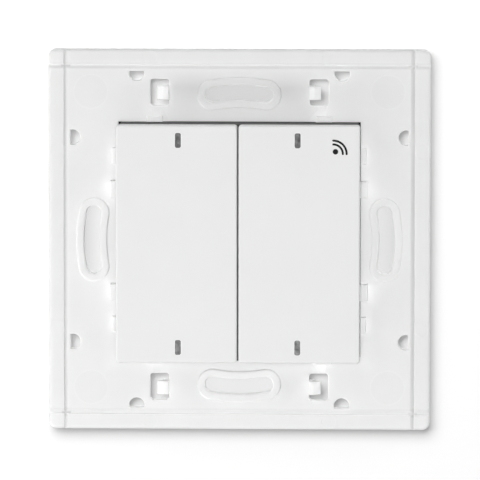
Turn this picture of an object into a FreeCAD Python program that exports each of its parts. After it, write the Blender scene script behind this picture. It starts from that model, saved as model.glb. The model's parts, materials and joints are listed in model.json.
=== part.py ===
import FreeCAD, Part
import math
import os

# Wireless remote wall switch: a translucent mounting plate with a two-rocker radio transmitter in it.
# Millimetres. The wall is the plane y = 0 and the room is on the -Y side, +Z is up.
# A "depth" is a distance from the wall into the room, so depth d lies at y = -d.
# The origin is the middle of the back, on the wall.

# Mounting plate
plate_size = 77.5
plate_thickness = 2.2
plate_corner_radius = 1.5
plate_edge_radius = 0.7
groove_inset = 3.15
groove_width = 0.8
groove_depth = 0.5
groove_lip_round = 0.15
module_clearance = 0.1

# Screw slots for a wall box, on a circle about the middle, with raised rims
box_screw_spacing = 60.0
slot_width = 3.0
slot_length = 13.8
slot_rim_width = 1.65
slot_rim_height = 0.45
slot_rim_round = 0.35

# D-shaped key holes, two along each side, flat side outwards
key_hole_radius = 1.55
key_hole_flat = 0.45
key_hole_groove_gap = 0.5
key_hole_offset = 20.85

# Latch windows and the snap hooks that hold a cover frame
latch_offset = 14.25
latch_window_width = 3.85
latch_window_height = 5.45
latch_window_round = 0.6
mouth_round = 0.2
hook_width = 2.76
hook_arm = 1.05
hook_reach = 2.35
hook_height = 2.0
hook_nose = 1.3
hook_nose_edge = 0.3
hook_root = 0.6
hook_round = 0.2

# Dished pockets between the latch windows, sloping down to the opening
pocket_depth = 0.9
pocket_margin = 0.4
pocket_floor_width = 28.0
pocket_side_slope = 4.0

# Locating ribs on all four sides of the opening, module clips on the left and right
rib_offset = 17.2
rib_length = 3.3
rib_thickness = 1.2
rib_height = 1.0
rib_round = 0.25
clip_offset = 10.5
clip_length = 3.4
clip_thickness = 1.2
clip_height = 2.6
clip_gap = 0.3
clip_nose_reach = 0.35
clip_nose_height = 0.9
clip_round = 0.2

# Round adhesive recesses in the back corners and shallow ejector marks in the border strips
recess_radius = 3.45
recess_depth = 0.5
recess_inset = 8.6
ejector_radius = 1.45
ejector_depth = 0.06
ejector_inset = 1.65
ejector_offset = 18.2

# Transmitter module
module_width = 49.0
module_height = 47.9
module_corner_radius = 1.0
module_wall = 1.2
deck_thickness = 1.2
back_thickness = 1.2
lip_height = 1.0
lip_thickness = 0.8
lip_clearance = 0.1

# Coin cell between its clip and its contact, behind the circuit board
cell_radius = 10.0
cell_height = 3.2
cell_cap_radius = 8.8
cell_cap_height = 0.3
cell_edge_round = 0.3
strap_gap = 0.1
strap_thickness = 0.3
strap_width = 7.0
strap_side_gap = 0.3
strap_foot = 2.0
contact_radius = 4.5
contact_thickness = 0.2
contact_tail_width = 3.0
contact_tail_reach = 11.5

# Circuit board and what is soldered to it
board_thickness = 1.0
board_clearance = 0.5
board_corner_radius = 1.0
led_length = 1.6
led_width = 0.8
led_height = 0.7
led_lens_length = 1.0
led_base_height = 0.3
chip_size = 5.0
chip_height = 0.9
chip_inset = 6.25
crystal_length = 3.2
crystal_width = 2.5
crystal_height = 0.8
crystal_x = 7.0
passive_length = 1.6
passive_width = 0.8
resistor_height = 0.45
capacitor_height = 0.8
capacitor_x = 5.0
capacitor_pitch = 2.0
resistor_inset = 4.0
resistor_shift = 2.6
pad_radius = 2.4
pad_split = 0.4
pad_thickness = 0.05
antenna_width = 0.7
antenna_pitch = 3.0
antenna_bars = 9
antenna_height = 6.0
antenna_edge_gap = 1.5
antenna_thickness = 0.1

# Silicone switch mats
dome_inset = 10.05
mat_base = 1.2
mat_width = 9.6
mat_end = 5.2
mat_corner_radius = 1.0
dome_base_radius = 3.7
dome_neck_radius = 2.3
dome_neck_height = 1.4
dome_cavity_radius = 2.9
dome_roof = 0.9
dome_hole_clearance = 0.5
foot_gap = 0.1

# Rockers
rocker_overhang = 0.1
rocker_split = 0.3
rocker_depth = 2.3
rocker_cap = 1.5
rocker_wall = 1.1
rocker_gap = 1.1
rocker_corner_radius = 0.6
rocker_edge_radius = 0.4
foot_radius = 1.6
foot_height = 0.7
collar_height = 0.85
collar_thickness = 0.8
collar_clearance = 0.5

# Level pivot of each rocker: two clip-on ears on two pins, each pin between two posts
pivot_rise = 0.5
pin_radius = 0.9
pin_clearance = 0.05
ear_wall = 0.7
ear_thickness = 1.6
ear_mouth = 1.5
ear_inset = 4.225
ear_side_gap = 0.2
ear_slot_clearance = 0.4
post_thickness = 1.0

# Light windows in the rockers
window_shift = 0.325
window_inset = 3.1
window_width = 1.2
window_height = 3.05
window_round = 0.4
window_fit = 0.02
window_recess = 0.06
window_flange = 0.45
window_flange_thickness = 0.5
light_hole_margin = 0.6

# Screws from the back through the board into the frame
screw_radius = 1.0
screw_fit = 0.02
screw_clearance = 0.15
screw_head_radius = 1.85
screw_head_height = 1.2
screw_head_recess = 0.3
screw_head_gap = 0.15
screw_inset_x = 4.5
screw_inset_z = 4.9
screw_grip = 2.4
screw_tip_gap = 0.1
spacer_radius = 2.6
boss_radius = 2.1
boss_rise = 0.6
cross_length = 2.2
cross_width = 0.5
cross_depth = 0.6

# Printed radio-wave mark on the right rocker
mark_inset_x = 5.38
mark_inset_z = 5.72
mark_radii = (1.93, 2.70)
mark_stroke = 0.42
mark_dot_radius = 0.55
mark_dot_shift = 0.45
mark_thickness = 0.03

# Values that follow from the sizes above
V = FreeCAD.Vector
OVERCUT = 1.0
plate_half = plate_size / 2
opening_half_width = module_width / 2 + module_clearance
opening_half_height = module_height / 2 + module_clearance
groove_wall = plate_half - groove_inset
slot_radius = box_screw_spacing / 2
slot_rim_half = slot_width / 2 + slot_rim_width
pocket_start = slot_radius + slot_rim_half + pocket_margin
key_hole_centre = groove_wall - groove_width - key_hole_groove_gap - key_hole_flat

strap_back = back_thickness + strap_gap
cell_back = strap_back + strap_thickness
cell_front = cell_back + cell_height
board_back = cell_front + contact_thickness
board_front = board_back + board_thickness
deck_back = board_front + mat_base
module_front = deck_back + deck_thickness
rocker_back = module_front + rocker_gap
rocker_front = rocker_back + rocker_depth
cap_back = rocker_front - rocker_cap

board_width = module_width - 2 * (module_wall + board_clearance)
board_height = module_height - 2 * (module_wall + board_clearance)
chip_z = board_height / 2 - chip_inset
rockers_width = module_width + 2 * rocker_overhang
rockers_height = module_height + 2 * rocker_overhang
rocker_width = (rockers_width - rocker_split) / 2
rocker_middle = (rocker_width + rocker_split) / 2
ear_offset = rocker_width / 2 - ear_inset
dome_offset = rockers_height / 2 - dome_inset
window_offset = rocker_middle - window_shift
window_height_offset = rockers_height / 2 - window_inset
pivot_depth = module_front + pivot_rise
ear_radius = pin_radius + pin_clearance + ear_wall
foot_end = cap_back - foot_height
dome_top = foot_end - foot_gap
screw_x = module_width / 2 - screw_inset_x
screw_z = module_height / 2 - screw_inset_z
screw_seat = screw_head_recess + screw_head_height


def block(x_range, z_range, depths):
    """Box between two x, two z and two depths."""
    size = [high - low for low, high in (x_range, depths, z_range)]
    return Part.makeBox(size[0], size[1], size[2], V(x_range[0], -depths[1], z_range[0]))


def centred(width, height, x, z, depths):
    """Box of a width and height about a point, between two depths."""
    return block((x - width / 2, x + width / 2), (z - height / 2, z + height / 2), depths)


def post(radius, x, z, depths):
    """Round post that stands off the wall between two depths."""
    return Part.makeCylinder(radius, depths[1] - depths[0], V(x, -depths[0], z), V(0, -1, 0))


def cone(back_radius, front_radius, x, z, depths):
    """Cone that stands off the wall between two depths."""
    return Part.makeCone(back_radius, front_radius, depths[1] - depths[0], V(x, -depths[0], z), V(0, -1, 0))


def level_pin(radius, x, length, depth):
    """Round pin along X at mid height, centred on x."""
    return Part.makeCylinder(radius, length, V(x - length / 2, -depth, 0), V(1, 0, 0))


def turned(shape, quarter_turns):
    """Copy turned about the middle of the plate by quarter turns."""
    copy = shape.copy()
    copy.rotate(V(0, 0, 0), V(0, 1, 0), 90 * quarter_turns)
    return copy


def joined(shapes):
    """One shape from shapes that meet, with split faces merged."""
    return shapes[0].fuse(shapes[1:]).removeSplitter()


def edges_into_room(shape):
    """Straight edges that run along Y."""
    box = [(edge, edge.BoundBox) for edge in shape.Edges]
    return [edge for edge, b in box if b.YLength > 1e-6 and b.XLength < 1e-6 and b.ZLength < 1e-6]


def edges_at_depth(shape, depth):
    """Edges that lie in the plane at a depth."""
    box = [(edge, edge.BoundBox) for edge in shape.Edges]
    return [edge for edge, b in box if abs(b.YMin + depth) < 1e-4 and abs(b.YMax + depth) < 1e-4]


def edges_from_depth(shape, depth):
    """Edges that lie wholly at a depth or in front of it."""
    return [edge for edge in shape.Edges if edge.BoundBox.YMax < 1e-4 - depth]


def rounded_prism(width, height, x, z, depths, corner):
    """Box with its four edges into the room rounded."""
    box = centred(width, height, x, z, depths)
    return box.makeFillet(corner, edges_into_room(box))


def arc_band(centre, radius, half_width, angles, depths):
    """Curved band with round ends between two angles, in degrees from +X towards +Z."""

    def at(distance, angle, shift=0.0):
        turn = math.radians(angle)
        along = V(-math.sin(turn), 0, math.cos(turn)) * shift
        return V(centre[0], -depths[0], centre[1]) + V(math.cos(turn), 0, math.sin(turn)) * distance + along

    start, end = angles
    middle = (start + end) / 2
    outer = radius + half_width
    inner = radius - half_width
    edges = [
        Part.Arc(at(outer, start), at(outer, middle), at(outer, end)).toShape(),
        Part.Arc(at(outer, end), at(radius, end, half_width), at(inner, end)).toShape(),
        Part.Arc(at(inner, end), at(inner, middle), at(inner, start)).toShape(),
        Part.Arc(at(inner, start), at(radius, start, -half_width), at(outer, start)).toShape(),
    ]
    face = Part.Face(Part.Wire(edges))
    return face.extrude(V(0, depths[0] - depths[1], 0))


def slot_angles():
    """Angles of the end centres of the top screw slot."""
    swing = math.degrees(math.asin((slot_length - slot_width) / 2 / slot_radius))
    return 90 - swing, 90 + swing


def screw_slot(depths):
    return arc_band((0, 0), slot_radius, slot_width / 2, slot_angles(), depths)


def slot_rim():
    """Raised rim round the top slot, rounded on both front edges."""
    front = plate_thickness + slot_rim_height
    back = plate_thickness / 4
    rim = arc_band((0, 0), slot_radius, slot_rim_half, slot_angles(), (back, front))
    rim = rim.cut(screw_slot((back - OVERCUT, front + OVERCUT)))
    return rim.makeFillet(slot_rim_round, edges_at_depth(rim, front))


def groove():
    """Break-off groove along the right side: an upright outer wall with a round lip, a sloping inner one."""
    floor = plate_thickness - groove_depth
    above = plate_thickness + OVERCUT
    inner = groove_wall - groove_width
    lip = groove_wall + groove_lip_round
    lip_back = plate_thickness - groove_lip_round
    outline = [(lip, above), (lip, lip_back), (groove_wall, lip_back)]
    outline.extend([(groove_wall, floor), (inner, plate_thickness), (inner, above)])
    length = plate_size + 2 * OVERCUT
    lip_rod = Part.makeCylinder(groove_lip_round, length, V(lip, -lip_back, -length / 2))
    return side_prism(outline, 0, length).cut(lip_rod)


def side_prism(outline, z, height):
    """Prism along Z, centred on z, from an outline of x and depth."""
    points = [V(x, -depth, z - height / 2) for x, depth in outline]
    face = Part.Face(Part.makePolygon(points + points[:1]))
    return face.extrude(V(0, 0, height))


def pocket():
    """Dished pocket above the opening: its floor curves down to the opening's edge, its sides are ramps."""
    low = opening_half_height - OVERCUT
    above = plate_thickness + OVERCUT
    run = pocket_start - opening_half_height
    sweep_radius = (run ** 2 + pocket_depth ** 2) / (2 * pocket_depth)
    across = pocket_floor_width + 2 * pocket_side_slope * (pocket_depth + OVERCUT)
    bowl_axis = V(-across / 2, sweep_radius - plate_thickness, pocket_start)
    hollow = block((-across / 2, across / 2), (low, pocket_start), (0, above))
    hollow = hollow.cut(Part.makeCylinder(sweep_radius, across, bowl_axis, V(1, 0, 0)))
    floor_half = pocket_floor_width / 2
    floor = plate_thickness - pocket_depth
    top_half = floor_half + (above - floor) * pocket_side_slope
    ramps = [(floor_half, 0), (floor_half, floor), (top_half, above)]
    ramps.extend([(-top_half, above), (-floor_half, floor), (-floor_half, 0)])
    return hollow.common(side_prism(ramps, (low + pocket_start) / 2, pocket_start - low))


def key_hole(along):
    """D-shaped hole near the top side, its flat towards the plate's edge."""
    depths = (-OVERCUT, plate_thickness + OVERCUT)
    hole = post(key_hole_radius, along, key_hole_centre, depths)
    beyond = key_hole_centre + key_hole_flat
    flat = block(
        (along - 2 * key_hole_radius, along + 2 * key_hole_radius), (beyond, beyond + key_hole_radius), depths
    )
    return hole.cut(flat)


def latch_window(side, end):
    depths = (-OVERCUT, plate_thickness + OVERCUT)
    x = side * (latch_offset + latch_window_width / 2)
    return rounded_prism(
        latch_window_width, latch_window_height, x, end * slot_radius, depths, latch_window_round
    )


def latch_hook(side, end):
    """Snap hook on the inner edge of a latch window, its nose pointing away from the middle."""
    arm = latch_offset + hook_arm
    tip = latch_offset + hook_reach
    front = plate_thickness + hook_height
    nose_front = front - (hook_nose - hook_nose_edge)
    nose_back = front - hook_nose
    back = plate_thickness / 4
    root_front = plate_thickness / 2
    outline = [
        (latch_offset - hook_root, back),
        (arm, back),
        (arm, nose_back),
        (tip, nose_back),
        (tip, nose_front),
        (arm, front),
        (latch_offset, front),
        (latch_offset, root_front),
        (latch_offset - hook_root, root_front),
    ]
    hook = side_prism([(side * x, depth) for x, depth in outline], end * slot_radius, hook_width)
    return hook.makeFillet(hook_round, edges_from_depth(hook, nose_front))


def rib(width, height, x, z):
    """Low locating rib with rounded front edges."""
    front = plate_thickness + rib_height
    bar = centred(width, height, x, z, (plate_thickness / 4, front))
    return bar.makeFillet(rib_round, edges_at_depth(bar, front))


def locating_ribs():
    beside = opening_half_width + rib_thickness / 2
    above = opening_half_height + rib_thickness / 2
    ribs = []
    for side in (-1, 1):
        for end in (-1, 1):
            ribs.append(rib(rib_thickness, rib_length, side * beside, end * rib_offset))
            ribs.append(rib(rib_length, rib_thickness, side * rib_offset, end * above))
    return ribs


def clip_nose_depths():
    front = plate_thickness + clip_height
    return front - clip_nose_height, front


def module_clip(side, end):
    """Upright clip beside the opening, with a nose that reaches into a notch of the module."""
    near = opening_half_width + clip_gap
    far = near + clip_thickness
    tip = module_width / 2 - clip_nose_reach
    nose_back, nose_front = clip_nose_depths()
    outline = [
        (far, plate_thickness / 4),
        (far, nose_front),
        (near, nose_front),
        (tip, nose_back + (nose_front - nose_back) / 2),
        (tip, nose_back),
        (near, nose_back),
        (near, plate_thickness / 4),
    ]
    clip = side_prism([(side * x, depth) for x, depth in outline], end * clip_offset, clip_length)
    return clip.makeFillet(clip_round, edges_at_depth(clip, nose_front))


def mouth_edges(plate):
    """Front edges of the holes inside the grooves."""
    found = []
    for edge in edges_at_depth(plate, plate_thickness):
        middle = edge.CenterOfMass
        if max(abs(middle.x), abs(middle.z)) < groove_wall:
            found.append(edge)
    return found


def mounting_plate():
    through = (-OVERCUT, plate_thickness + clip_height + OVERCUT)
    plate = rounded_prism(plate_size, plate_size, 0, 0, (0, plate_thickness), plate_corner_radius)
    plate = plate.makeFillet(plate_edge_radius, edges_at_depth(plate, plate_thickness))
    quarters = range(4)
    corners = [(side, end) for side in (-1, 1) for end in (-1, 1)]
    marks = []
    for along in (-ejector_offset, ejector_offset):
        depths = (plate_thickness - ejector_depth, plate_thickness + OVERCUT)
        mark = post(ejector_radius, along, plate_half - ejector_inset, depths)
        marks.extend(turned(mark, turn) for turn in quarters)
    holes = [latch_window(side, end) for side, end in corners]
    for along in (-key_hole_offset, key_hole_offset):
        holes.extend(turned(key_hole(along), turn) for turn in quarters)
    plate = plate.cut(holes)
    plate = plate.makeFillet(mouth_round, mouth_edges(plate))
    plate = plate.cut([turned(groove(), turn) for turn in quarters])
    plate = plate.cut([turned(pocket(), turn) for turn in (0, 2)])
    plate = plate.cut(marks)
    raised = [turned(slot_rim(), turn) for turn in quarters]
    raised.extend(locating_ribs())
    raised.extend(module_clip(side, end) for side, end in corners)
    plate = joined([plate] + raised)
    recess = plate_half - recess_inset
    cuts = [turned(screw_slot(through), turn) for turn in quarters]
    cuts.extend(
        post(recess_radius, side * recess, end * recess, (-OVERCUT, recess_depth)) for side, end in corners
    )
    cuts.append(centred(2 * opening_half_width, 2 * opening_half_height, 0, 0, (-OVERCUT, plate_thickness)))
    plate = plate.cut(cuts)
    return joined([plate] + [latch_hook(side, end) for side, end in corners])


def ear_places():
    """Places along X of the four pivot ears."""
    return [side * rocker_middle + shift for side in (-1, 1) for shift in (-ear_offset, ear_offset)]


def dome_places():
    return [(side * rocker_middle, end * dome_offset) for side in (-1, 1) for end in (-1, 1)]


def window_places():
    return [(side * window_offset, end * window_height_offset) for side in (-1, 1) for end in (-1, 1)]


def screw_places():
    return [(side * screw_x, end * screw_z) for side in (-1, 1) for end in (-1, 1)]


def pivot_bearing(x):
    """Two posts on the deck with a pin between them."""
    half_gap = ear_thickness / 2 + ear_side_gap
    depths = (deck_back + deck_thickness / 2, pivot_depth + pin_radius)
    shapes = [level_pin(pin_radius, x, 2 * (half_gap + post_thickness), pivot_depth)]
    for side in (-1, 1):
        middle = x + side * (half_gap + post_thickness / 2)
        shapes.append(centred(post_thickness, 2 * ear_radius, middle, 0, depths))
    return shapes


def rocker_collar(side):
    """Low wall on the deck that stands inside a rocker's skirt and closes the gap under it."""
    inset = 2 * (rocker_wall + collar_clearance)
    width = rocker_width - inset
    height = rockers_height - inset
    depths = (deck_back + deck_thickness / 2, module_front + collar_height)
    x = side * rocker_middle
    wall = centred(width, height, x, 0, depths)
    return wall.cut(centred(width - 2 * collar_thickness, height - 2 * collar_thickness, x, 0, depths))


def module_frame():
    inner_width = module_width - 2 * module_wall
    inner_height = module_height - 2 * module_wall
    deck_through = (deck_back - OVERCUT, module_front + OVERCUT)
    frame = rounded_prism(
        module_width, module_height, 0, 0, (back_thickness, module_front), module_corner_radius
    )
    cuts = [centred(inner_width, inner_height, 0, 0, (0, deck_back))]
    hole = dome_base_radius + dome_hole_clearance
    cuts.extend(post(hole, x, z, deck_through) for x, z in dome_places())
    slot_long = 2 * (ear_radius + ear_slot_clearance)
    slot_wide = ear_thickness + 2 * ear_side_gap
    cuts.extend(centred(slot_wide, slot_long, x, 0, deck_through) for x in ear_places())
    nose_back, nose_front = clip_nose_depths()
    notch_floor = module_width / 2 - clip_nose_reach - clip_gap
    for side in (-1, 1):
        for end in (-1, 1):
            reach = sorted((side * notch_floor, side * (module_width / 2 + OVERCUT)))
            half = clip_length / 2 + clip_gap
            spread = (end * clip_offset - half, end * clip_offset + half)
            cuts.append(block(reach, spread, (nose_back - clip_gap, nose_front + clip_gap)))
    frame = frame.cut(cuts)
    added = [post(boss_radius, x, z, (board_front, module_front + boss_rise)) for x, z in screw_places()]
    added.extend(rocker_collar(side) for side in (-1, 1))
    for x in ear_places():
        added.extend(pivot_bearing(x))
    frame = joined([frame] + added)
    pilot = (board_front - OVERCUT, board_front + screw_grip)
    holes = [post(screw_radius + screw_fit, x, z, pilot) for x, z in screw_places()]
    light_width = window_width + 2 * light_hole_margin
    light_height = window_height + 2 * light_hole_margin
    holes.extend(centred(light_width, light_height, x, z, deck_through) for x, z in window_places())
    return frame.cut(holes)


def module_back():
    cover = rounded_prism(module_width, module_height, 0, 0, (0, back_thickness), module_corner_radius)
    lip_width = module_width - 2 * (module_wall + lip_clearance)
    lip_height_across = module_height - 2 * (module_wall + lip_clearance)
    lip_depths = (back_thickness / 2, back_thickness + lip_height)
    lip = centred(lip_width, lip_height_across, 0, 0, lip_depths)
    hollow_width = lip_width - 2 * lip_thickness
    hollow_height = lip_height_across - 2 * lip_thickness
    lip = lip.cut(centred(hollow_width, hollow_height, 0, 0, (0, board_back)))
    spacers = [post(spacer_radius, x, z, (back_thickness / 2, board_back)) for x, z in screw_places()]
    cover = joined([cover, lip] + spacers)
    bores = []
    for x, z in screw_places():
        bores.append(post(screw_radius + screw_clearance, x, z, (0, board_back + OVERCUT)))
        bores.append(post(screw_head_radius + screw_head_gap, x, z, (-OVERCUT, screw_seat)))
    return cover.cut(bores)


def module_screws():
    """Pan-head screws with a cross recess, one solid each."""
    screws = []
    tip = board_front + screw_grip - screw_tip_gap
    for x, z in screw_places():
        head = post(screw_head_radius, x, z, (screw_head_recess, screw_seat))
        screw = joined([head, post(screw_radius, x, z, (screw_head_recess, tip))])
        depths = (0, screw_head_recess + cross_depth)
        level = centred(cross_length, cross_width, x, z, depths)
        upright = centred(cross_width, cross_length, x, z, depths)
        screws.append(screw.cut([level, upright]))
    return Part.makeCompound(screws)


def circuit_board():
    board = rounded_prism(board_width, board_height, 0, 0, (board_back, board_front), board_corner_radius)
    hole = screw_radius + screw_clearance
    depths = (board_back - OVERCUT, board_front + OVERCUT)
    return board.cut([post(hole, x, z, depths) for x, z in screw_places()])


def key_pads():
    """A split round contact under each dome."""
    halves = []
    for x, z in dome_places():
        disc = post(pad_radius, x, z, (board_front, board_front + pad_thickness))
        split = centred(pad_split, 4 * pad_radius, x, z, (board_front - OVERCUT, board_front + OVERCUT))
        halves.extend(disc.cut(split).Solids)
    return Part.makeCompound(halves)


def antenna_trace():
    """Etched meander along the bottom edge of the board's back."""
    depths = (board_back - antenna_thickness, board_back)
    low = -board_height / 2 + antenna_edge_gap
    high = low + antenna_height
    first = -antenna_pitch * (antenna_bars - 1) / 2
    half = antenna_width / 2
    bars = []
    for index in range(antenna_bars):
        x = first + index * antenna_pitch
        bars.append(block((x - half, x + half), (low, high), depths))
        if index < antenna_bars - 1:
            z = (high - half) if index % 2 == 0 else (low + half)
            bars.append(block((x - half, x + antenna_pitch + half), (z - half, z + half), depths))
    return joined(bars)


def led(x, z):
    base = centred(led_length, led_width, x, z, (board_front, board_front + led_base_height))
    lens = centred(led_lens_length, led_width, x, z, (board_front, board_front + led_height))
    return joined([base, lens])


def passives(places, height):
    """Small chip parts on the back of the board, one solid each."""
    depths = (board_back - height, board_back)
    return Part.makeCompound([centred(passive_length, passive_width, x, z, depths) for x, z in places])


def resistors():
    x = window_offset + resistor_shift
    z = board_height / 2 - resistor_inset
    return passives([(side * x, end * z) for side in (-1, 1) for end in (-1, 1)], resistor_height)


def capacitors():
    places = [(-capacitor_x, chip_z + step * capacitor_pitch) for step in (-1, 0, 1)]
    return passives(places, capacitor_height)


def radio_chip():
    return centred(chip_size, chip_size, 0, chip_z, (board_back - chip_height, board_back))


def crystal():
    depths = (board_back - crystal_height, board_back)
    return rounded_prism(crystal_length, crystal_width, crystal_x, chip_z, depths, crystal_height / 2)


def coin_cell():
    shoulder = cell_front - cell_cap_height
    can = post(cell_radius, 0, 0, (cell_back, shoulder))
    can = can.makeFillet(cell_edge_round, edges_at_depth(can, cell_back))
    return joined([can, post(cell_cap_radius, 0, 0, (shoulder, cell_front))])


def cell_clip():
    """Bent strap over the cell, soldered to the board by a foot on each side."""
    inner = cell_radius + strap_side_gap
    outer = inner + strap_thickness
    half = strap_width / 2
    bends = [block((-outer, outer), (-half, half), (strap_back, cell_back))]
    for side in (-1, 1):
        leg = sorted((side * inner, side * outer))
        foot = sorted((side * inner, side * (outer + strap_foot)))
        bends.append(block(leg, (-half, half), (strap_back, board_back)))
        bends.append(block(foot, (-half, half), (board_back - strap_thickness, board_back)))
    return joined(bends)


def cell_contact():
    """Flat round leaf under the cell with a solder tail."""
    depths = (cell_front, board_back)
    tail = block((-contact_tail_width / 2, contact_tail_width / 2), (-contact_tail_reach, 0), depths)
    return joined([post(contact_radius, 0, 0, depths), tail])


def switch_mat(side):
    """Silicone strip with a hollow dome under each end of a rocker."""
    x = side * rocker_middle
    length = 2 * (dome_offset + mat_end)
    mat = rounded_prism(mat_width, length, x, 0, (board_front, deck_back), mat_corner_radius)
    shoulder = dome_top - dome_neck_height
    roof = dome_top - dome_roof
    domes = []
    cavities = []
    for end in (-1, 1):
        z = end * dome_offset
        domes.append(cone(dome_base_radius, dome_neck_radius, x, z, (deck_back, shoulder)))
        domes.append(post(dome_neck_radius, x, z, (shoulder, dome_top)))
        cavities.append(cone(dome_cavity_radius, dome_neck_radius / 2, x, z, (board_front, roof)))
    return joined([mat] + domes).cut(cavities)


def pivot_ear(x):
    """Ear that clips over the pin from the front: a ring with a mouth towards the wall."""
    half = ear_radius
    across = (x - ear_thickness / 2, x + ear_thickness / 2)
    ring = level_pin(ear_radius, x, ear_thickness, pivot_depth)
    neck = block(across, (-half, half), (pivot_depth, rocker_front - rocker_cap / 2))
    ear = joined([ring, neck])
    bore = level_pin(pin_radius + pin_clearance, x, ear_thickness + OVERCUT, pivot_depth)
    gap = (pivot_depth - ear_radius - OVERCUT, pivot_depth)
    mouth = block((across[0] - OVERCUT, across[1] + OVERCUT), (-ear_mouth / 2, ear_mouth / 2), gap)
    return ear.cut([bore, mouth])


def rocker(side):
    x = side * rocker_middle
    shell = rounded_prism(
        rocker_width, rockers_height, x, 0, (rocker_back, rocker_front), rocker_corner_radius
    )
    shell = shell.makeFillet(rocker_edge_radius, edges_at_depth(shell, rocker_front))
    hollow_width = rocker_width - 2 * rocker_wall
    hollow_height = rockers_height - 2 * rocker_wall
    shell = shell.cut(centred(hollow_width, hollow_height, x, 0, (rocker_back - OVERCUT, cap_back)))
    added = [pivot_ear(x + shift) for shift in (-ear_offset, ear_offset)]
    foot_depths = (foot_end, rocker_front - rocker_cap / 2)
    added.extend(post(foot_radius, x, end * dome_offset, foot_depths) for end in (-1, 1))
    shell = joined([shell] + added)
    through = (rocker_back, rocker_front + OVERCUT)
    holes = []
    for end in (-1, 1):
        place = (side * window_offset, end * window_height_offset)
        holes.append(rounded_prism(window_width, window_height, place[0], place[1], through, window_round))
    return shell.cut(holes)


def window(x, z):
    """Light window: a plug in the rocker's face with a flange behind it."""
    plug_width = window_width - 2 * window_fit
    plug_height = window_height - 2 * window_fit
    front = rocker_front - window_recess
    back = cap_back - window_flange_thickness
    plug = rounded_prism(plug_width, plug_height, x, z, (back, front), window_round)
    flange_width = window_width + 2 * window_flange
    flange_height = window_height + 2 * window_flange
    flange = centred(flange_width, flange_height, x, z, (back, cap_back))
    return joined([plug, flange])


def radio_mark():
    """Dot with two quarter arcs, printed on the face of the right rocker."""
    depths = (rocker_front, rocker_front + mark_thickness)
    mark_x = rockers_width / 2 - mark_inset_x
    mark_z = rockers_height / 2 - mark_inset_z
    inks = [post(mark_dot_radius, mark_x + mark_dot_shift, mark_z + mark_dot_shift, depths)]
    for radius in mark_radii:
        inks.append(arc_band((mark_x, mark_z), radius, mark_stroke / 2, (0, 90), depths))
    return Part.makeCompound(inks)


def all_parts():
    nodes = {
        "mounting_plate": mounting_plate(),
        "module_frame": module_frame(),
        "module_back": module_back(),
        "module_screws": module_screws(),
        "circuit_board": circuit_board(),
        "key_pads": key_pads(),
        "antenna_trace": antenna_trace(),
        "radio_chip": radio_chip(),
        "crystal": crystal(),
        "resistors": resistors(),
        "capacitors": capacitors(),
        "coin_cell": coin_cell(),
        "cell_clip": cell_clip(),
        "cell_contact": cell_contact(),
        "radio_mark": radio_mark(),
    }
    for side, side_name in ((-1, "left"), (1, "right")):
        nodes["rocker_" + side_name] = rocker(side)
        nodes["switch_mat_" + side_name] = switch_mat(side)
        for end, end_name in ((-1, "bottom"), (1, "top")):
            name = side_name + "_" + end_name
            place = (side * window_offset, end * window_height_offset)
            nodes["window_" + name] = window(place[0], place[1])
            nodes["led_" + name] = led(place[0], place[1])
    return nodes


os.makedirs("parts", exist_ok=True)
for node, shape in all_parts().items():
    shape.exportStep("parts/" + node + ".step")
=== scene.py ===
import bmesh
import bpy
import json
import math
from mathutils import Matrix, Vector


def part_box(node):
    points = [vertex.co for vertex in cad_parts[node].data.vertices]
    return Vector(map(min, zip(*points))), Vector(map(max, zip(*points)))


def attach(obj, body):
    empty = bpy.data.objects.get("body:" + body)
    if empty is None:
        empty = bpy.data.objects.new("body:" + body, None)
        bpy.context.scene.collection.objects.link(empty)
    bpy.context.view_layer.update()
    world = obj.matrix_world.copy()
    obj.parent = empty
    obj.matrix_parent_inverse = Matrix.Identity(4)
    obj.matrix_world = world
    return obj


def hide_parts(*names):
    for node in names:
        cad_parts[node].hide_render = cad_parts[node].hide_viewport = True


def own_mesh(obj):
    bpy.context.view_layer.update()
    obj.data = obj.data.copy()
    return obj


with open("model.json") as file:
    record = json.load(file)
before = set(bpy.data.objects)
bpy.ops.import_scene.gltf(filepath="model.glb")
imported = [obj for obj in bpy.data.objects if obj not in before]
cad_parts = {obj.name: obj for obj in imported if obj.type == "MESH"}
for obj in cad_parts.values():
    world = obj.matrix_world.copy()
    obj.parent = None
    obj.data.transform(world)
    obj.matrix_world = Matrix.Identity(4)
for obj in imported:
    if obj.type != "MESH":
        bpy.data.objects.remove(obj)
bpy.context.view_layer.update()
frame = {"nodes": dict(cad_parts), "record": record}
nodes = frame["nodes"]


def grey(value):
    return (value, value, value)


MM = 0.001
LOOK = "_look"

# Camera, from how the rockers shift against the plate in the photograph
PHOTO_PIXELS = 480
PIXELS_PER_MM = 4.925
PLATE_CENTRE_PIXEL = (239.2, 240.0)
PLATE_FRONT = -2.2 * MM
CAMERA_DISTANCE = 1.2
CAMERA_AZIMUTH = 1.9
CAMERA_ELEVATION = 5.3
CAMERA_ROLL = 0.05
CAMERA_SENSOR = 36.0
CAMERA_CLIP_START = 0.01

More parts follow.
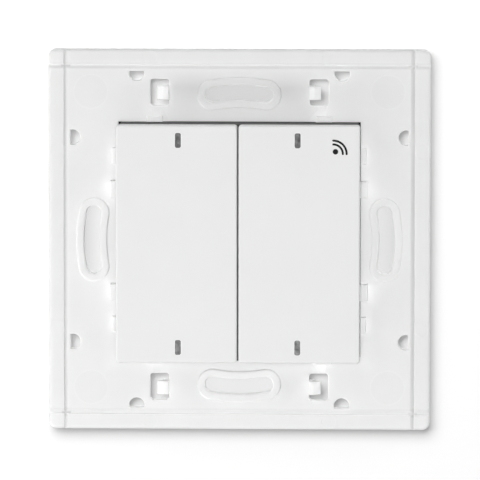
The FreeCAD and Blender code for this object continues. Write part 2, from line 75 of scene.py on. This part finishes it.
# Finishes: dark tone, light tone, size of the blotches (mm), roughness, specular level,
# and the grain's size, its height and how far it softens edges (mm)
FINISHES = {
    "plate_plastic": (grey(0.86), grey(0.88), 9.0, 0.6, 0.5, (0.16, 0.004, 0.12)),
    "rocker_plastic": (grey(0.82), grey(0.835), 12.0, 0.55, 0.5, (0.11, 0.003, 0.08)),
    "dark_plastic": (grey(0.021), grey(0.029), 3.0, 0.6, 0.25, (0.12, 0.004, 0.1)),
    "smoked_window": (grey(0.07), grey(0.27), 0.8, 0.5, 0.2, None),
    "mark_ink": (grey(0.009), grey(0.016), 0.2, 0.6, 0.1, None),
    "silicone": (grey(0.42), grey(0.47), 2.0, 0.65, 0.5, (0.2, 0.004, 0.0)),
    "board_laminate": ((0.018, 0.10, 0.04), (0.03, 0.15, 0.06), 0.6, 0.35, 0.5, (0.5, 0.01, 0.0)),
    "chip_resin": (grey(0.02), grey(0.035), 0.5, 0.55, 0.5, (0.1, 0.003, 0.0)),
    "ceramic": ((0.45, 0.33, 0.2), (0.55, 0.42, 0.28), 0.5, 0.5, 0.5, (0.1, 0.003, 0.0)),
    "led_resin": ((0.8, 0.76, 0.6), (0.88, 0.86, 0.76), 0.5, 0.2, 0.5, (0.1, 0.003, 0.0)),
}

# Metals: colour, roughness and the size of their brushing (mm)
METALS = {
    "gold_plating": ((0.83, 0.62, 0.25), 0.25, 0.3),
    "copper": ((0.72, 0.40, 0.24), 0.35, 0.4),
    "nickel_can": ((0.72, 0.71, 0.68), 0.3, 0.4),
    "cell_steel": ((0.70, 0.70, 0.69), 0.28, 0.3),
    "spring_steel": ((0.68, 0.68, 0.66), 0.3, 0.3),
    "zinc_steel": ((0.62, 0.63, 0.64), 0.35, 0.25),
}
METAL_DARKEST = 0.9
METAL_SPECULAR = 0.5
METAL_GRAIN_HEIGHT = 0.002

MOTTLE_STOPS = (0.3, 0.7)
MOTTLE_DETAIL = 3.0
GRAIN_DETAIL = 2.0
BEVEL_SAMPLES = 4
OCCLUSION_SAMPLES = 8

# Painted highlight: outward edges are painted brighter, as if light also entered them from the side
EDGE_HIGHLIGHT_REACH = 0.45
EDGE_HIGHLIGHT_SHARES = (0.1, 0.6)
PLATE_EDGE_HIGHLIGHT = 1.12
ROCKER_EDGE_HIGHLIGHT = 1.2

# Milky plate: light spreads in it, and tones by place (mm), most of them painted light and shade, stand for
# what the shader leaves out
SCATTER_WEIGHT = 0.8
SCATTER_SCALE = 1.2
BRIGHTEST = 0.96
AXIS_SPAN = 80.0
PLATE_RISE = (-3.0, -2.7)
PLATE_DEEP = (-1.2, -1.0)
RING_PLACE = 30.15
RING_RADIUS = 3.45
RING_BLUR = 0.2
RING_SPAN = 10.0
RING_TONES = [
    (0.0, 0.962),
    (RING_RADIUS - RING_BLUR, 0.962),
    (RING_RADIUS, 1.0),
    (RING_RADIUS + RING_BLUR, 0.975),
]
# Pockets: painted shade, darkest in the top pocket, and painted light in the bottom pocket next to the
# opening
POCKET_SHADE_SIDE = (13.0, 19.0)
POCKET_SHADE_TONES = [
    (-34.5, 1.0), (-31.0, 0.985), (-29.0, 0.985), (-26.0, 1.05), (-24.0, 1.07), (-20.0, 1.0),
    (20.0, 1.0), (24.0, 0.95), (27.5, 0.93), (30.8, 0.86), (34.5, 1.0),
]

# Break-off grooves, painted shade and light: axis across the groove, its reach along that axis and along Y
# (mm), tone, below one for painted shade and above one for painted light
GROOVE_SHADE_TONES = [
    ("X", (34.3, 36.2), (-1.95, -1.55), 0.9),
    ("X", (-36.2, -34.3), (-1.95, -1.55), 0.82),
    ("Z", (34.3, 36.2), (-1.95, -1.55), 1.02),
    ("Z", (35.45, 36.0), (-2.4, -1.95), 0.93),
    ("Z", (34.85, 35.35), (-2.2, -1.5), 0.93),
    ("Z", (-36.2, -34.3), (-2.05, -1.55), 0.93),
    ("Z", (-35.3, -34.5), (-2.4, -2.0), 0.94),
]
GROOVE_DEPTH_BLUR = 0.15
GROOVE_SIDE_BLUR = 0.1
HOOK_ACROSS = (12.0, 20.0)
HOOK_LEVELS = (27.8, 32.2)
HOOK_RISE = (-2.9, -2.6)
HOOK_BLUR = 0.1
# Painted light on the snap hooks
HOOK_LIGHT_GAIN = 1.1
# Painted light beside and below the opening
OPENING_HALVES = [("X", 24.6), ("Z", 24.05)]
RIM_REACH = 4.0
RIM_TOP = (20.0, 25.0)
RIM_LIGHT_GAIN = 1.06

# Light windows, painted light and shade: tones of the lower and the upper pair, at this height below and
# above the middle (mm)
WINDOW_HEIGHT = 21.0
WINDOW_LIGHT_GAINS = (1.45, 0.88)

# Switch mats, in millimetres: depths are measured from the board towards the room
MAT_STRIP = 1.2
MAT_CORNER = 1.0
MAT_END = 5.2
DOME_RADIUS = 3.7
DOME_NECK = 2.3
DOME_NECK_HEIGHT = 1.4
DOME_ROOF = 0.9
DOME_CAVITY = 2.9
DOME_ROUND = 0.25
ROUND_STEPS = 6
LATHE_STEPS = 40
SHARP_ANGLE = math.radians(35)
WELD = 0.001

# Stage: a backdrop, a floor, and a card just behind the plate that shows through its slots and holes, whose
# glow is painted shade in the holes and painted light behind the slots
BACKDROP_SIZE = 3.0
BACKDROP_GAP = 0.3 * MM
BACKDROP_ALBEDO = 0.3
BACKDROP_GLOW = 0.27
FLOOR_ALBEDO = 0.75
FLOOR_GLOW = 0.8
FLOOR_DROP = 1.5
CARD_SIZE = 76.0 * MM
CARD_GAP = 0.15 * MM
CARD_ALBEDO = (0.03, 0.4)
# Card glow: painted shade, weakest where the holes enclose the card
CARD_HOLE_SHADE_GLOW = (0.11, 0.35)
CARD_HOLE_HALVES = (24.8 * MM, 24.25 * MM)
CARD_HOLE_BLUR = 0.2 * MM
HOLE_REACH = 20.0 * MM
SLOT_ENDS = (8.0, 13.0)
# Painted light and shade behind the side slots and the end slots, along the card's own X and Y (mm)
SIDE_SLOT_PAINTED_LIGHT = [(-31.7, 0.68), (-28.4, 0.83), (28.4, 0.77), (31.7, 0.66)]
END_SLOT_PAINTED_LIGHT = [(-31.7, 0.77), (-28.4, 0.81), (28.4, 0.61), (31.7, 0.66)]
SEEN_RAYS = ["Is Camera Ray", "Is Glossy Ray", "Is Transmission Ray"]
BACKDROP_CLEAR_RAYS = ["Is Shadow Ray", "Is Diffuse Ray"]
CARD_CLEAR_RAYS = [*BACKDROP_CLEAR_RAYS, "Is Glossy Ray"]

# Lamps on the object and the floor: name, place and size (m), power (W), and whether they cast shadows
LAMPS = [
    ("front", (0.02, -1.3, 0.12), 0.05, 7.55, True),
    ("fill", (-0.27, -0.36, -0.38), 0.3, 1.75, False),
    ("above_open", (0.0, -0.1, 1.0), 0.4, 2.0, False),
    ("left", (-1.25, -0.08, 0.0), 0.4, 4.3, True),
    ("right", (1.25, -0.08, 0.0), 0.4, 5.0, True),
    ("above", (0.0, -0.08, 1.25), 0.4, 1.0, True),
    ("back_left", (-0.8, 1.2, 0.5), 0.8, 8.5, True),
    ("back_right", (0.8, 1.2, 0.5), 0.8, 8.5, True),
]
WORLD_LIGHT = 0.1

# Lamps on the backdrop alone and on the card alone
WASH_PLACE = (-1.35, -2.0, 2.1)
WASH_SIZE = 4.2
WASH_POWER = 482.0
CARD_LAMP_PLACE = (-0.4, -1.0, 0.45)
CARD_LAMP_SIZE = 0.95
CARD_LAMP_POWER = 26.0


def add_node(owner, kind, **values):
    """New shader node of a material or the world, with its properties set by name."""
    node = owner.node_tree.nodes.new(kind)
    for key, value in values.items():
        setattr(node, key, value)
    return node


def link(owner, source, target):
    owner.node_tree.links.new(source, target)


def compute(owner, operation, *values, clamp=False):
    """Math node whose inputs are sockets or plain numbers."""
    node = add_node(owner, "ShaderNodeMath", operation=operation, use_clamp=clamp)
    for socket, value in zip(node.inputs, values):
        if isinstance(value, float):
            socket.default_value = value
        else:
            link(owner, value, socket)
    return node.outputs[0]


def product(owner, first, *others):
    """Product of several numbers."""
    total = first
    for other in others:
        total = compute(owner, "MULTIPLY", total, other)
    return total


def spread(owner, source, start, stop, low, high, kind="SMOOTHSTEP"):
    """Maps start..stop of a source onto low..high."""
    node = add_node(owner, "ShaderNodeMapRange", interpolation_type=kind)
    node.inputs["From Min"].default_value = start
    node.inputs["From Max"].default_value = stop
    node.inputs["To Min"].default_value = low
    node.inputs["To Max"].default_value = high
    link(owner, source, node.inputs["Value"])
    return node.outputs["Result"]


def between(material, source, low, high, blur):
    """One between two lengths in millimetres, zero outside them."""
    above = spread(material, source, (low - blur) * MM, (low + blur) * MM, 0.0, 1.0)
    below = spread(material, source, (high - blur) * MM, (high + blur) * MM, 1.0, 0.0)
    return product(material, above, below)


def beyond(material, source, lengths):
    """Goes from zero to one between two lengths in millimetres."""
    return spread(material, source, lengths[0] * MM, lengths[1] * MM, 0.0, 1.0)


def short_of(material, source, lengths):
    """Goes from one to zero between two lengths in millimetres."""
    return spread(material, source, lengths[0] * MM, lengths[1] * MM, 1.0, 0.0)


def gain(material, share, value):
    """Brightness that goes from one to a value as a share goes from zero to one."""
    return spread(material, share, 0.0, 1.0, 1.0, value, "LINEAR")


def place_output(material):
    """Object coordinates, which for a solid are the part's own frame in metres."""
    return add_node(material, "ShaderNodeTexCoord").outputs["Object"]


def mirrored_place(material):
    """Object coordinates with their signs dropped."""
    mirrored = add_node(material, "ShaderNodeVectorMath", operation="ABSOLUTE")
    link(material, place_output(material), mirrored.inputs[0])
    return mirrored.outputs[0]


def split_axes(material, place):
    """A place's coordinates, by the names of their axes."""
    axes = add_node(material, "ShaderNodeSeparateXYZ")
    link(material, place, axes.inputs[0])
    return axes.outputs


def place_axes(material):
    return split_axes(material, place_output(material))


def mirrored_axes(material):
    return split_axes(material, mirrored_place(material))


def noise(material, scale_mm, detail):
    """Noise whose blotches are about scale_mm across."""
    texture = add_node(material, "ShaderNodeTexNoise")
    texture.inputs["Scale"].default_value = 1 / (scale_mm * MM)
    texture.inputs["Detail"].default_value = detail
    link(material, place_output(material), texture.inputs["Vector"])
    return texture.outputs["Fac"]


def grain(material, shader, scale_mm, height_mm, edge_mm):
    """Fine moulded grain, with edges softened over edge_mm."""
    bump = add_node(material, "ShaderNodeBump")
    bump.inputs["Strength"].default_value = 1.0
    bump.inputs["Distance"].default_value = height_mm * MM
    link(material, noise(material, scale_mm, GRAIN_DETAIL), bump.inputs["Height"])
    if edge_mm:
        bevel = add_node(material, "ShaderNodeBevel", samples=BEVEL_SAMPLES)
        bevel.inputs["Radius"].default_value = edge_mm * MM
        link(material, bevel.outputs["Normal"], bump.inputs["Normal"])
    link(material, bump.outputs["Normal"], shader.inputs["Normal"])


def mottle(material, shader, dark, light, scale_mm):
    """Colour that wanders between two tones."""
    ramp = add_node(material, "ShaderNodeValToRGB")
    for element, position, tone in zip(ramp.color_ramp.elements, MOTTLE_STOPS, (dark, light)):
        element.position = position
        element.color = (*tone, 1)
    link(material, noise(material, scale_mm, MOTTLE_DETAIL), ramp.inputs["Fac"])
    link(material, ramp.outputs["Color"], shader.inputs["Base Color"])


def times(material, colour, brightness):
    """Product of a colour and a brightness."""
    node = add_node(material, "ShaderNodeVectorMath", operation="MULTIPLY")
    link(material, colour, node.inputs[0])
    link(material, brightness, node.inputs[1])
    return node.outputs[0]


def at_most(material, colour, value):
    """Colour that is no brighter than a value."""
    limit = add_node(material, "ShaderNodeVectorMath", operation="MINIMUM")
    limit.inputs[1].default_value = grey(value)
    link(material, colour, limit.inputs[0])
    return limit.outputs[0]


def stops(ramp, tones, span, shift=0.0):
    """Sets a ramp's greys at lengths that become shares of a span."""
    for index, (length, value) in enumerate(tones):
        place = (length + shift) / span
        element = ramp.color_ramp.elements[0] if index == 0 else ramp.color_ramp.elements.new(place)
        element.position = place
        element.color = (*grey(value), 1)
    ramp.color_ramp.elements.remove(ramp.color_ramp.elements[-1])


def along_ramp(material, source, tones):
    """Tones along one axis."""
    half = AXIS_SPAN / 2
    ramp = add_node(material, "ShaderNodeValToRGB")
    stops(ramp, tones, AXIS_SPAN, half)
    link(material, spread(material, source, -half * MM, half * MM, 0.0, 1.0, "LINEAR"), ramp.inputs["Fac"])
    return ramp.outputs["Color"]


def corner_rings(material):
    """Faint pale rings where the round recesses on the back show through."""
    flat = add_node(material, "ShaderNodeVectorMath", operation="MULTIPLY")
    flat.inputs[1].default_value = (1, 0, 1)
    link(material, mirrored_place(material), flat.inputs[0])
    reach = add_node(material, "ShaderNodeVectorMath", operation="DISTANCE")
    reach.inputs[1].default_value = (RING_PLACE * MM, 0, RING_PLACE * MM)
    link(material, flat.outputs[0], reach.inputs[0])
    ramp = add_node(material, "ShaderNodeValToRGB")
    stops(ramp, RING_TONES, RING_SPAN)
    share = compute(material, "DIVIDE", reach.outputs["Value"], RING_SPAN * MM, clamp=True)
    link(material, share, ramp.inputs["Fac"])
    return ramp.outputs["Color"]


def painted_pocket_shade(material):
    """Painted shade and light in the pockets above and below the opening, where the plate is thinner: darkest
    in the top pocket, and brighter in the bottom pocket next to the opening.
    """
    axes = place_axes(material)
    across = short_of(material, mirrored_axes(material)["X"], POCKET_SHADE_SIDE)
    behind_hooks = beyond(material, axes["Y"], PLATE_RISE)
    in_front = short_of(material, axes["Y"], PLATE_DEEP)
    pocket_shade = add_node(material, "ShaderNodeMix", data_type="RGBA")
    pocket_shade.inputs["A"].default_value = (1, 1, 1, 1)
    link(material, product(material, across, behind_hooks, in_front), pocket_shade.inputs["Factor"])
    link(material, along_ramp(material, axes["Z"], POCKET_SHADE_TONES), pocket_shade.inputs["B"])
    return pocket_shade.outputs["Result"]


def painted_groove_shade(material):
    """Painted shade in the break-off grooves, darkest in the left one, and painted light on part of the top
    one; each groove has its own tone.
    """
    axes = place_axes(material)
    tones = []
    for axis, across, depths, tone in GROOVE_SHADE_TONES:
        sunk = between(material, axes["Y"], *depths, GROOVE_DEPTH_BLUR)
        beside = between(material, axes[axis], *across, GROOVE_SIDE_BLUR)
        tones.append(gain(material, product(material, sunk, beside), tone))
    return product(material, *tones)


def painted_hook_light(material):
    """Painted light: the thin snap hooks are painted brighter, as if they let more light through than the
    plate does.
    """
    sides = mirrored_axes(material)
    raised = short_of(material, place_axes(material)["Y"], HOOK_RISE)
    beside = between(material, sides["X"], *HOOK_ACROSS, HOOK_BLUR)
    level = between(material, sides["Z"], *HOOK_LEVELS, HOOK_BLUR)
    return gain(material, product(material, raised, beside, level), HOOK_LIGHT_GAIN)


def painted_rim_light(material):
    """Painted light: the plate is painted a little brighter beside and below its opening, as if lit by the
    white walls that face it.
    """
    axes = place_axes(material)
    sides = mirrored_axes(material)
    past = [compute(material, "SUBTRACT", sides[axis], half * MM) for axis, half in OPENING_HALVES]
    near = short_of(material, compute(material, "MAXIMUM", *past), (0.0, RIM_REACH))
    not_above = short_of(material, axes["Z"], RIM_TOP)
    in_front = short_of(material, axes["Y"], PLATE_DEEP)
    return gain(material, product(material, near, not_above, in_front), RIM_LIGHT_GAIN)


def painted_edge_highlight(material, value):
    """Painted highlight: goes from one to a value on outward edges, brightening them as if light also entered
    from the side.
    """
    inside = add_node(
        material, "ShaderNodeAmbientOcclusion", inside=True, only_local=True, samples=OCCLUSION_SAMPLES
    )
    inside.inputs["Distance"].default_value = EDGE_HIGHLIGHT_REACH * MM
    share = compute(material, "SUBTRACT", 1.0, inside.outputs["AO"])
    return spread(material, share, *EDGE_HIGHLIGHT_SHARES, 1.0, value)


def painted_window_light(material):
    """Painted light and shade: the lower light windows are painted paler than the upper ones, paler towards
    the bottom.
    """
    height = WINDOW_HEIGHT * MM
    return spread(material, place_axes(material)["Z"], -height, height, *WINDOW_LIGHT_GAINS)


def principled(material):
    return material.node_tree.nodes["Principled BSDF"]


def tint(material, tones):
    """Multiplies a material's colour by tones and returns the new colour."""
    socket = principled(material).inputs["Base Color"]
    colour = socket.links[0].from_socket
    for tone in tones:
        colour = times(material, colour, tone)
    link(material, colour, socket)
    return colour


def finish(name, dark, light, blotch, roughness, specular, grained, metallic=0.0):
    """Material whose colour wanders between two tones, with a fine grain."""
    material = bpy.data.materials.new(name + LOOK)
    material.use_nodes = True
    shader = principled(material)
    shader.inputs["Roughness"].default_value = roughness
    shader.inputs["Specular IOR Level"].default_value = specular
    shader.inputs["Metallic"].default_value = metallic
    mottle(material, shader, dark, light, blotch)
    if grained:
        grain(material, shader, *grained)
    return material


def metal(name, colour, roughness, brushing):
    """Metal with fine uneven brushing."""
    darker = [METAL_DARKEST * channel for channel in colour]
    grained = (brushing, METAL_GRAIN_HEIGHT, 0.0)
    return finish(name, darker, colour, brushing, roughness, METAL_SPECULAR, grained, metallic=1.0)


def make_milky(material):
    """Adds the plate's tones by place, most of them painted light and shade, and the light that spreads in
    it.
    """
    tones = [layer(material) for layer in (corner_rings, painted_pocket_shade, painted_groove_shade, painted_hook_light, painted_rim_light)]
    # Painted highlight on the plate's outward edges, on top of its painted light and shade by place
    colour = tint(material, [*tones, painted_edge_highlight(material, PLATE_EDGE_HIGHLIGHT)])
    shader = principled(material)
    link(material, at_most(material, colour, BRIGHTEST), shader.inputs["Base Color"])
    shader.inputs["Subsurface Weight"].default_value = SCATTER_WEIGHT
    shader.inputs["Subsurface Radius"].default_value = (1.0, 1.0, 1.0)
    shader.inputs["Subsurface Scale"].default_value = SCATTER_SCALE * MM


def all_materials():
    """Every finish by the name of its slot."""
    made = {name: finish(name, *values) for name, values in FINISHES.items()}
    made.update({name: metal(name, *values) for name, values in METALS.items()})
    make_milky(made["plate_plastic"])
    # Painted highlight on the rocker's outward edges
    tint(made["rocker_plastic"], [painted_edge_highlight(made["rocker_plastic"], ROCKER_EDGE_HIGHLIGHT)])
    # Painted light and shade on the light windows, paler towards the bottom
    tint(made["smoked_window"], [painted_window_light(made["smoked_window"])])
    return made


def dress_nodes(materials):
    """Gives every solid of the frame the material of its slot."""
    slots = {entry["node"]: entry["material_slot"] for entry in frame["record"]["subparts"]}
    for name, piece in nodes.items():
        piece.data.materials.clear()
        piece.data.materials.append(materials[slots[name]])


def rounded_outline(half_width, half_height, radius):
    """Points of a rectangle with rounded corners, in order."""
    points = []
    for quarter, (side, end) in enumerate([(1, 1), (-1, 1), (-1, -1), (1, -1)]):
        for step in range(ROUND_STEPS + 1):
            angle = math.radians(90) * (quarter + step / ROUND_STEPS)
            x = side * (half_width - radius) + radius * math.cos(angle)
            z = end * (half_height - radius) + radius * math.sin(angle)
            points.append((x, z))
    return points


def circle(radius, place):
    """Points round a dome's middle, which is at a height above the mat's own."""
    turns = [2 * math.pi * step / LATHE_STEPS for step in range(LATHE_STEPS)]
    return [(radius * math.cos(turn), place + radius * math.sin(turn)) for turn in turns]


def ring(mesh, points, depth):
    return [mesh.verts.new((x, -depth, z)) for x, z in points]


def ring_edges(mesh, verts):
    return [mesh.edges.new((verts[index - 1], vert)) for index, vert in enumerate(verts)]


def loft(mesh, rows):
    """Faces between rings that have as many points each."""
    for lower, upper in zip(rows, rows[1:]):
        for step in range(len(lower)):
            corners = [lower[step - 1], lower[step], upper[step], upper[step - 1]]
            mesh.faces.new(list(dict.fromkeys(corners)))


def add_strip(mesh, half_width, half_length, dome_places):
    """Both faces of the flat strip, with a round hole for each dome, and the wall round it."""
    outline = rounded_outline(half_width, half_length, MAT_CORNER)
    walls = []
    for depth in (0.0, MAT_STRIP):
        walls.append(ring(mesh, outline, depth))
        edges = ring_edges(mesh, walls[-1])
        for place in dome_places:
            edges += ring_edges(mesh, ring(mesh, circle(DOME_RADIUS, place), depth))
        bmesh.ops.triangle_fill(mesh, use_beauty=True, edges=edges)
    loft(mesh, walls)


def add_dome(mesh, place, top):
    """Hollow dome, turned about the line through its middle: its cavity, then its outside."""
    roof = top - DOME_ROOF
    cavity = [(0.0, roof), (DOME_NECK / 2, roof), (DOME_CAVITY, 0.0), (DOME_RADIUS, 0.0)]
    outside = [
        (DOME_RADIUS, MAT_STRIP),
        (DOME_NECK, top - DOME_NECK_HEIGHT),
        (DOME_NECK, top - DOME_ROUND),
        (DOME_NECK - DOME_ROUND, top),
        (0.0, top),
    ]
    for profile in (cavity, outside):
        rows = []
        for radius, depth in profile:
            if radius == 0.0:
                rows.append([mesh.verts.new((0, -depth, place))] * LATHE_STEPS)
            else:
                rows.append(ring(mesh, circle(radius, place), depth))
        loft(mesh, rows)


def mat_mesh(name, half_width, half_length, top):
    """Strip and domes welded into one closed mesh, in metres."""
    place = half_length - MAT_END
    mesh = bmesh.new()
    add_strip(mesh, half_width, half_length, (-place, place))
    for dome_place in (-place, place):
        add_dome(mesh, dome_place, top)
    bmesh.ops.remove_doubles(mesh, verts=mesh.verts, dist=WELD)
    bmesh.ops.scale(mesh, vec=(MM, MM, MM), verts=mesh.verts)
    bmesh.ops.recalc_face_normals(mesh, faces=mesh.faces)
    for face in mesh.faces:
        face.smooth = True
    for edge in mesh.edges:
        edge.smooth = edge.calc_face_angle(0.0) < SHARP_ANGLE
    data = bpy.data.meshes.new(name)
    mesh.to_mesh(data)
    mesh.free()
    return data


def build_mat(side, material):
    """Soft mat under one rocker, in the place of its solid."""
    node = "switch_mat_" + side
    name = "soft_mat_" + side
    low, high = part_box(node)
    half_width = (high[0] - low[0]) / 2 / MM
    half_length = (high[2] - low[2]) / 2 / MM
    top = (high[1] - low[1]) / MM
    piece = bpy.data.objects.new(name, mat_mesh(name, half_width, half_length, top))
    piece.location = ((low[0] + high[0]) / 2, high[1], (low[2] + high[2]) / 2)
    bpy.context.scene.collection.objects.link(piece)
    piece.data.materials.append(material)
    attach(piece, "base")
    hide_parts(node)
    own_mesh(piece)
    return piece


def any_ray(owner, names, total=None):
    """One for the named kinds of ray, and where a given share is one."""
    path = add_node(owner, "ShaderNodeLightPath")
    for name in names:
        kind = path.outputs[name]
        total = compute(owner, "MAXIMUM", total, kind) if total else kind
    return total


def seen_glow(material, strength):
    """Glow that only the rays that show the stage itself can see, straight or in gloss and glass."""
    return compute(material, "MULTIPLY", any_ray(material, SEEN_RAYS), strength)


def blend_floats(material, share, first, second):
    mix = add_node(material, "ShaderNodeMix", data_type="FLOAT")
    for socket, source in zip(("Factor", "A", "B"), (share, first, second)):
        link(material, source, mix.inputs[socket])
    return mix.outputs["Result"]


def card_painted_shade(material):
    """Colour and glow of the card, painted shade and light: dark behind the module, a glow of painted shade
    that weakens where the holes enclose the card, and pale painted light behind the four slots.
    """
    occlusion = add_node(material, "ShaderNodeAmbientOcclusion", samples=OCCLUSION_SAMPLES)
    occlusion.inputs["Distance"].default_value = HOLE_REACH
    hole_shade_glow = spread(material, occlusion.outputs["AO"], 0.0, 1.0, *CARD_HOLE_SHADE_GLOW, "LINEAR")
    axes = place_axes(material)
    sides = mirrored_axes(material)
    side_slot_light = along_ramp(material, axes["X"], SIDE_SLOT_PAINTED_LIGHT)
    end_slot_light = along_ramp(material, axes["Y"], END_SLOT_PAINTED_LIGHT)
    beside = compute(material, "GREATER_THAN", sides["X"], sides["Y"])
    slot_painted_light = blend_floats(material, beside, end_slot_light, side_slot_light)
    at_slots = short_of(material, compute(material, "MINIMUM", sides["X"], sides["Y"]), SLOT_ENDS)
    glow = blend_floats(material, at_slots, hole_shade_glow, slot_painted_light)
    colour = spread(material, at_slots, 0.0, 1.0, CARD_ALBEDO[1], CARD_ALBEDO[0], "LINEAR")
    past = []
    for axis, half in zip("XY", CARD_HOLE_HALVES):
        past.append(spread(material, sides[axis], half, half + CARD_HOLE_BLUR, 0.0, 1.0))
    lit = compute(material, "MAXIMUM", *past)
    return product(material, colour, lit), product(material, glow, lit)


def pale_surface(material, colour, glow):
    """Diffuse surface with a glow of its own; its colour is a grey number or a socket."""
    diffuse = add_node(material, "ShaderNodeBsdfDiffuse")
    if isinstance(colour, float):
        diffuse.inputs["Color"].default_value = (*grey(colour), 1)
    else:
        link(material, colour, diffuse.inputs["Color"])
    emission = add_node(material, "ShaderNodeEmission")
    link(material, glow, emission.inputs["Strength"])
    both = add_node(material, "ShaderNodeAddShader")
    link(material, diffuse.outputs[0], both.inputs[0])
    link(material, emission.outputs[0], both.inputs[1])
    return both.outputs[0]


def clear_for(material, surface, clear_rays):
    """Surface that is clear from behind, and for the light that passes on its way to the back of the part."""
    behind = add_node(material, "ShaderNodeNewGeometry").outputs["Backfacing"]
    clear = add_node(material, "ShaderNodeBsdfTransparent")
    side = add_node(material, "ShaderNodeMixShader")
    link(material, any_ray(material, clear_rays, behind), side.inputs["Fac"])
    link(material, surface, side.inputs[1])
    link(material, clear.outputs[0], side.inputs[2])
    return side.outputs[0]


def empty_material(name):
    material = bpy.data.materials.new(name)
    material.use_nodes = True
    material.node_tree.nodes.clear()
    return material


def show(material, surface):
    output = add_node(material, "ShaderNodeOutputMaterial")
    link(material, surface, output.inputs["Surface"])


def stage_plane(material, size, matrix):
    """Square plane of the stage, with the name of its material."""
    mesh = bpy.data.meshes.new(material.name)
    half = size / 2
    corners = [(-half, -half, 0), (half, -half, 0), (half, half, 0), (-half, half, 0)]
    mesh.from_pydata(corners, [], [(0, 1, 2, 3)])
    mesh.materials.append(material)
    plane = bpy.data.objects.new(material.name, mesh)
    plane.matrix_world = matrix
    bpy.context.scene.collection.objects.link(plane)
    return plane


def facing_room(gap):
    """Turns a plane towards the room, a gap behind the part."""
    return Matrix.Translation((0, gap, 0)) @ Matrix.Rotation(math.radians(90), 4, "X")


def build_backdrop():
    material = empty_material("backdrop")
    surface = pale_surface(material, BACKDROP_ALBEDO, seen_glow(material, BACKDROP_GLOW))
    show(material, clear_for(material, surface, BACKDROP_CLEAR_RAYS))
    return stage_plane(material, BACKDROP_SIZE, facing_room(BACKDROP_GAP))


def build_card():
    material = empty_material("card")
    surface = pale_surface(material, *card_painted_shade(material))
    show(material, clear_for(material, surface, CARD_CLEAR_RAYS))
    return stage_plane(material, CARD_SIZE, facing_room(CARD_GAP))


def build_floor():
    material = empty_material("floor")
    show(material, pale_surface(material, FLOOR_ALBEDO, seen_glow(material, FLOOR_GLOW)))
    return stage_plane(material, 2 * BACKDROP_SIZE, Matrix.Translation((0, 0, -FLOOR_DROP)))


def aim(thing, target, roll=0.0):
    """Points a lamp or the camera at a place."""
    direction = Vector(target) - thing.location
    turn = direction.to_track_quat("-Z", "Y").to_matrix().to_4x4()
    turn = turn @ Matrix.Rotation(math.radians(roll), 4, "Z")
    thing.matrix_world = Matrix.Translation(thing.location) @ turn


def soft_lamp(name, place, size, power, shadow=True, target=(0, 0, 0)):
    data = bpy.data.lights.new(name, "AREA")
    data.shape = "DISK"
    data.size = size
    data.energy = power
    data.use_shadow = shadow
    lamp = bpy.data.objects.new(name, data)
    lamp.location = place
    bpy.context.scene.collection.objects.link(lamp)
    aim(lamp, target)
    return lamp


def straight_lamp(name, place, size, power):
    """Lamp that shines straight at the wall."""
    return soft_lamp(name, place, size, power, target=(place[0], 0, place[2]))


def group(name, pieces):
    chosen = bpy.data.collections.new(name)
    for piece in pieces:
        chosen.objects.link(piece)
    return chosen


def light_only(lamp, pieces):
    """Keeps a lamp's light to some pieces, whose shadows still come from everything."""
    lamp.light_linking.receiver_collection = group(lamp.name + "_lights", pieces)


def build_lamps(backdrop, card, floor, mats):
    for lamp_values in LAMPS:
        light_only(soft_lamp(*lamp_values), [floor, *nodes.values(), *mats])
    light_only(straight_lamp("wash", WASH_PLACE, WASH_SIZE, WASH_POWER), [backdrop])
    card_lamp = straight_lamp("card_lamp", CARD_LAMP_PLACE, CARD_LAMP_SIZE, CARD_LAMP_POWER)
    light_only(card_lamp, [card])
    card_lamp.light_linking.blocker_collection = group("card_blockers", [nodes["mounting_plate"]])


def build_world():
    """White where the stage is seen, and a weak light on the object."""
    world = bpy.data.worlds.new("studio")
    world.use_nodes = True
    bpy.context.scene.world = world
    background = world.node_tree.nodes["Background"]
    background.inputs["Color"].default_value = (1, 1, 1, 1)
    strength = spread(world, any_ray(world, SEEN_RAYS), 0.0, 1.0, WORLD_LIGHT, 1.0, "LINEAR")
    link(world, strength, background.inputs["Strength"])


def build_camera():
    data = bpy.data.cameras.new("camera")
    camera = bpy.data.objects.new("camera", data)
    bpy.context.scene.collection.objects.link(camera)
    azimuth = math.radians(CAMERA_AZIMUTH)
    elevation = math.radians(CAMERA_ELEVATION)
    target = Vector((0, PLATE_FRONT, 0))
    away = Vector((math.sin(azimuth), -math.cos(azimuth), 0)) * math.cos(elevation)
    away.z = math.sin(elevation)
    camera.location = target + away * CAMERA_DISTANCE
    aim(camera, target, CAMERA_ROLL)
    frame_width = PHOTO_PIXELS / PIXELS_PER_MM * MM
    data.sensor_width = CAMERA_SENSOR
    data.lens = data.sensor_width * CAMERA_DISTANCE / frame_width
    data.shift_x = (PHOTO_PIXELS / 2 - PLATE_CENTRE_PIXEL[0]) / PHOTO_PIXELS
    data.shift_y = (PLATE_CENTRE_PIXEL[1] - PHOTO_PIXELS / 2) / PHOTO_PIXELS
    data.clip_start = CAMERA_CLIP_START
    bpy.context.scene.camera = camera


materials = all_materials()
dress_nodes(materials)
mats = [build_mat(side, materials["silicone"]) for side in ("left", "right")]
build_lamps(build_backdrop(), build_card(), build_floor(), mats)
build_world()
build_camera()
bpy.context.scene.view_settings.view_transform = "Standard"
